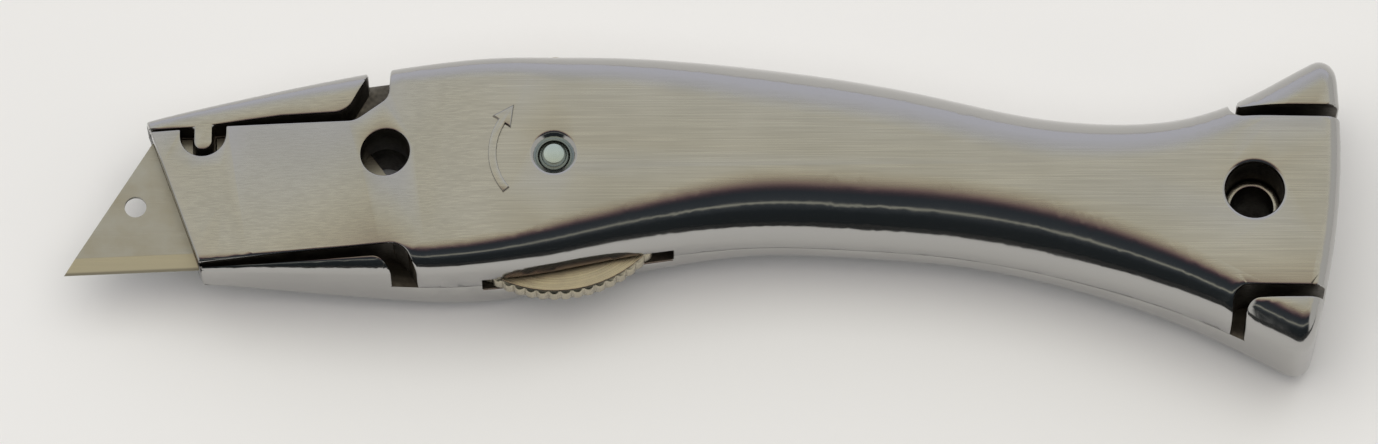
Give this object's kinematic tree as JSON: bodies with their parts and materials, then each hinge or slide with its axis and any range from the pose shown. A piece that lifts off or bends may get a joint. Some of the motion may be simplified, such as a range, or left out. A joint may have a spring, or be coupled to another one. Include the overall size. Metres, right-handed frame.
{
  "type": "utility knife",
  "caption": "Fixed-blade utility knife: two hollow cast halves clamp a trapezoid blade, opened by a knurled wheel between them; hanging hole in the flared tail.",
  "frame": {"origin": "on the rest plane, on the axis of the hanging hole in the tail", "axes": "+X from the blade to the tail, +Y to the back edge of the knife, +Z out of the front casting; the knife lies on its back casting at Z = 0"},
  "size_m": [0.1743, 0.0444, 0.0203],
  "materials": {
    "zinc_casting": "satin",
    "wheel_steel": "satin",
    "plated_steel": "satin",
    "bronze": "satin",
    "spring_steel": "satin",
    "blade_steel": "satin"
  },
  "bodies": {
    "back_body": {"back_half": "zinc_casting", "bearing_sleeve": "bronze", "work_blade": "blade_steel", "spare_blade_1": "blade_steel", "spare_blade_2": "blade_steel", "spare_blade_3": "blade_steel", "spare_blade_4": "blade_steel", "spare_blade_5": "blade_steel"},
    "front_body": {"front_half": "zinc_casting", "thread_bush": "plated_steel", "magazine_spring": "spring_steel", "spring_rivet": "plated_steel"},
    "wheel_body": {"thumb_wheel": "wheel_steel", "clamp_screw": "plated_steel", "wheel_washer": "plated_steel", "thrust_washer": "plated_steel", "retaining_ring": "spring_steel"}
  },
  "joints": [
    {"name": "wheel_turn", "type": "hinge", "parent": "back_body", "child": "wheel_body", "pos_m": [-0.0953, 0.0053, 0.01], "axis": [0, 0, 1], "range_deg": [-1441, 0]},
    {"name": "front_lift", "type": "slide", "parent": "back_body", "child": "front_body", "axis": [0, 0, 1], "range_m": [0, 0.0028]}
  ],
  "couplings": [
    {"joint": "wheel_turn", "follows": "front_lift", "rad_per_m": -8976}
  ]
}
